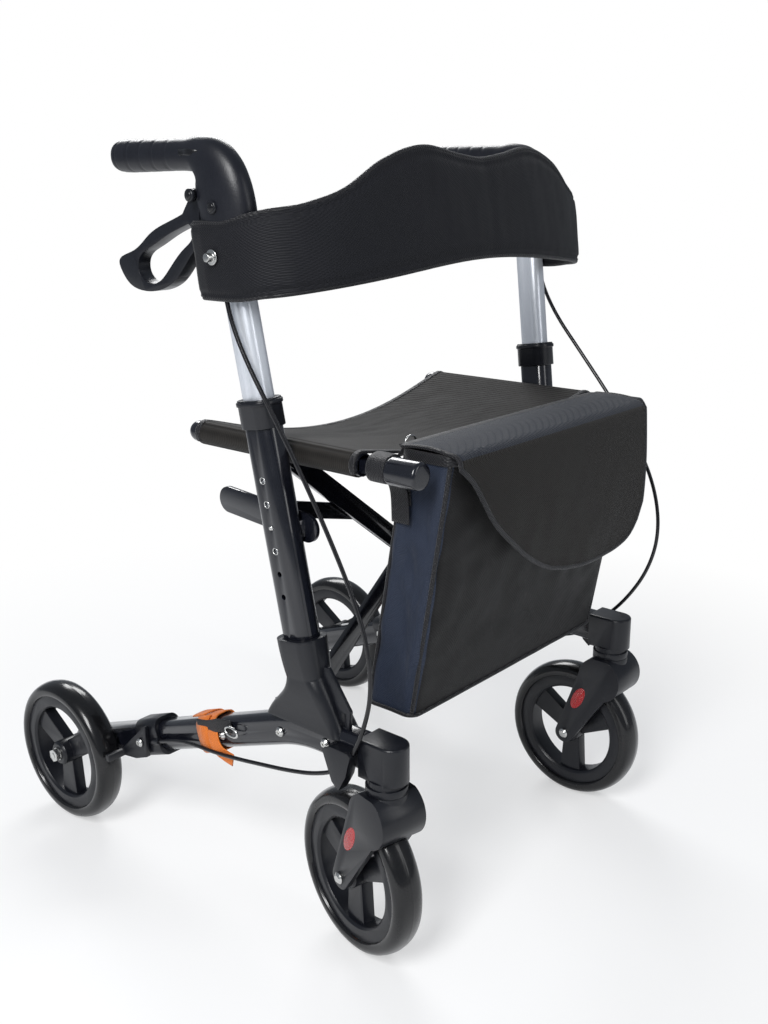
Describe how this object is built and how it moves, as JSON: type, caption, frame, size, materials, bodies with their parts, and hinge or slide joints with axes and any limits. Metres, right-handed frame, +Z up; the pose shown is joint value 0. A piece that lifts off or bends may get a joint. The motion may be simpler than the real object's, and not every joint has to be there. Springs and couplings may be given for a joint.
{
  "type": "rollator walker",
  "caption": "Folding rollator walker with four wheels, swivelling front casters, looped brake levers, cloth seat, front bag and a curved backrest band.",
  "frame": {"origin": "ground point under the middle of the walker's bounding box", "axes": "+Z up, -Y is the rolling direction, +X is the user's left"},
  "size_m": [0.6192, 0.7209, 0.9152],
  "materials": {
    "black_paint": "satin black powder coat",
    "bright_steel": "zinc plated bolts and nuts",
    "silver_tube": "silver anodised tube",
    "black_plastic": "satin moulded plastic",
    "tyre_rubber": "smooth dark polyurethane",
    "red_reflector": "red prismatic reflector",
    "cable_jacket": "black cable jacket",
    "bag_fabric": "coated woven polyester",
    "flap_fabric": "heathered woven polyester",
    "seat_mesh": "ribbed mesh",
    "band_fabric": "padded woven polyester",
    "orange_webbing": "woven webbing"
  },
  "bodies": {
    "right_frame": {"right_beam": "black_paint", "right_frame_bolts": "bright_steel", "right_rear_axle": "bright_steel", "right_post": "black_paint", "right_post_collar": "black_plastic", "right_base_socket": "black_plastic", "right_brake_sleeve": "black_plastic", "right_kerb_hook": "black_plastic", "right_caster_housing": "black_plastic", "right_cross_brackets": "black_paint", "right_brake_cable": "cable_jacket", "tie_strap": "orange_webbing"},
    "right_rear_wheel": {"right_rear_rim": "black_plastic", "right_rear_tyre": "tyre_rubber"},
    "right_upper": {"right_upper_tube": "silver_tube", "right_handle": "black_plastic", "right_handle_screws": "bright_steel", "backrest_band": "band_fabric"},
    "right_lever": {"right_brake_lever": "black_plastic"},
    "right_button": {"right_height_button": "bright_steel"},
    "right_brake": {"right_brake_shoe": "black_plastic"},
    "right_caster": {"right_fork": "black_plastic", "right_reflectors": "red_reflector", "right_front_axle": "bright_steel"},
    "right_front_wheel": {"right_front_rim": "black_plastic", "right_front_tyre": "tyre_rubber"},
    "right_rail": {"right_seat_rail": "black_paint", "seat_sling": "seat_mesh", "bag": "bag_fabric"},
    "right_link": {"right_side_link": "black_paint"},
    "left_frame": {"left_beam": "black_paint", "left_frame_bolts": "bright_steel", "left_rear_axle": "bright_steel", "left_post": "black_paint", "left_post_collar": "black_plastic", "left_base_socket": "black_plastic", "left_brake_sleeve": "black_plastic", "left_kerb_hook": "black_plastic", "left_caster_housing": "black_plastic", "left_cross_brackets": "black_paint", "left_brake_cable": "cable_jacket"},
    "left_rear_wheel": {"left_rear_rim": "black_plastic", "left_rear_tyre": "tyre_rubber"},
    "left_upper": {"left_upper_tube": "silver_tube", "left_handle": "black_plastic", "left_handle_screws": "bright_steel"},
    "left_lever": {"left_brake_lever": "black_plastic"},
    "left_button": {"left_height_button": "bright_steel"},
    "left_brake": {"left_brake_shoe": "black_plastic"},
    "left_caster": {"left_fork": "black_plastic", "left_reflectors": "red_reflector", "left_front_axle": "bright_steel"},
    "left_front_wheel": {"left_front_rim": "black_plastic", "left_front_tyre": "tyre_rubber"},
    "left_rail": {"left_seat_rail": "black_paint"},
    "left_link": {"left_side_link": "black_paint"},
    "flap": {"bag_flap": "flap_fabric"},
    "cross_front": {"cross_bar_front": "black_paint"},
    "cross_rear": {"cross_bar_rear": "black_paint"}
  },
  "joints": [
    {"name": "fold", "type": "hinge", "parent": "right_frame", "child": "cross_front", "pos_m": [-0.2, -0.131, 0.258], "axis": [0, -1, 0], "range_deg": [0, 30], "deforming": ["seat_sling", "bag", "bag_flap", "backrest_band"]},
    {"name": "cross_centre", "type": "hinge", "parent": "cross_front", "child": "cross_rear", "pos_m": [0, -0.126, 0.4125], "axis": [0, -1, 0], "range_deg": [-60, 0]},
    {"name": "left_base_pivot", "type": "hinge", "parent": "cross_rear", "child": "left_frame", "pos_m": [0.2, -0.121, 0.258], "axis": [0, -1, 0], "range_deg": [0, 30]},
    {"name": "right_rail_pivot", "type": "hinge", "parent": "cross_rear", "child": "right_rail", "pos_m": [-0.2, -0.121, 0.567], "axis": [0, -1, 0], "range_deg": [0, 30]},
    {"name": "left_rail_pivot", "type": "hinge", "parent": "cross_front", "child": "left_rail", "pos_m": [0.2, -0.131, 0.567], "axis": [0, -1, 0], "range_deg": [-30, 0]},
    {"name": "right_link_pivot", "type": "hinge", "parent": "right_frame", "child": "right_link", "pos_m": [-0.222, -0.1123, 0.511], "axis": [0, -1, 0], "range_deg": [0, 56.4]},
    {"name": "left_link_pivot", "type": "hinge", "parent": "left_frame", "child": "left_link", "pos_m": [0.222, -0.1397, 0.511], "axis": [0, -1, 0], "range_deg": [-56.4, 0]},
    {"name": "bag_flap_lift", "type": "hinge", "parent": "right_rail", "child": "flap", "pos_m": [0, -0.279, 0.6033], "axis": [-1, 0, 0], "range_deg": [0, 110]},
    {"name": "right_rear_roll", "type": "hinge", "parent": "right_frame", "child": "right_rear_wheel", "pos_m": [-0.2786, 0.2605, 0.1], "axis": [1, 0, 0], "continuous": true},
    {"name": "right_height", "type": "slide", "parent": "right_frame", "child": "right_upper", "axis": [-0.0551, 0.1455, 0.9878], "range_m": [-0.0795, 0.053], "deforming": ["right_brake_cable"]},
    {"name": "right_lever_squeeze", "type": "hinge", "parent": "right_upper", "child": "right_lever", "pos_m": [-0.277, -0.079, 0.857], "axis": [1, 0, 0], "range_deg": [-12, 12], "stiffness_Nm_per_rad": 2},
    {"name": "right_button_press", "type": "slide", "parent": "right_frame", "child": "right_button", "axis": [0.9985, 0.004, 0.0551], "range_m": [0, 0.003], "stiffness_N_per_m": 300},
    {"name": "right_brake_press", "type": "hinge", "parent": "right_frame", "child": "right_brake", "pos_m": [-0.2672, 0.11164, 0.15548], "axis": [1, 0, 0], "range_deg": [-3, 3]},
    {"name": "right_caster_swivel", "type": "hinge", "parent": "right_frame", "child": "right_caster", "pos_m": [-0.24, -0.2986, 0.2], "axis": [0, 0, 1], "continuous": true},
    {"name": "right_front_roll", "type": "hinge", "parent": "right_caster", "child": "right_front_wheel", "pos_m": [-0.22919, -0.24774, 0.1], "axis": [0.9781, -0.2079, 0], "continuous": true},
    {"name": "left_rear_roll", "type": "hinge", "parent": "left_frame", "child": "left_rear_wheel", "pos_m": [0.2786, 0.2605, 0.1], "axis": [1, 0, 0], "continuous": true},
    {"name": "left_height", "type": "slide", "parent": "left_frame", "child": "left_upper", "axis": [0.0551, 0.1455, 0.9878], "range_m": [-0.0795, 0.053], "deforming": ["left_brake_cable"]},
    {"name": "left_lever_squeeze", "type": "hinge", "parent": "left_upper", "child": "left_lever", "pos_m": [0.277, -0.079, 0.857], "axis": [1, 0, 0], "range_deg": [-12, 12], "stiffness_Nm_per_rad": 2},
    {"name": "left_button_press", "type": "slide", "parent": "left_frame", "child": "left_button", "axis": [-0.9985, 0.004, 0.0551], "range_m": [0, 0.003], "stiffness_N_per_m": 300},
    {"name": "left_brake_press", "type": "hinge", "parent": "left_frame", "child": "left_brake", "pos_m": [0.2672, 0.11164, 0.15548], "axis": [1, 0, 0], "range_deg": [-3, 3]},
    {"name": "left_caster_swivel", "type": "hinge", "parent": "left_frame", "child": "left_caster", "pos_m": [0.24, -0.2986, 0.2], "axis": [0, 0, 1], "continuous": true},
    {"name": "left_front_roll", "type": "hinge", "parent": "left_caster", "child": "left_front_wheel", "pos_m": [0.24, -0.2466, 0.1], "axis": [1, 0, 0], "continuous": true}
  ],
  "couplings": [
    {"joint": "cross_centre", "follows": "fold", "ratio": -2},
    {"joint": "left_base_pivot", "follows": "fold", "ratio": 1},
    {"joint": "right_rail_pivot", "follows": "fold", "ratio": 1},
    {"joint": "left_rail_pivot", "follows": "fold", "ratio": -1},
    {"joint": "right_link_pivot", "follows": "fold", "ratio": 1.88},
    {"joint": "left_link_pivot", "follows": "fold", "ratio": -1.88},
    {"joint": "right_brake_press", "follows": "right_lever_squeeze", "ratio": 0.2},
    {"joint": "left_brake_press", "follows": "left_lever_squeeze", "ratio": 0.2},
    {"joint": "left_height", "follows": "right_height", "ratio": 1}
  ]
}
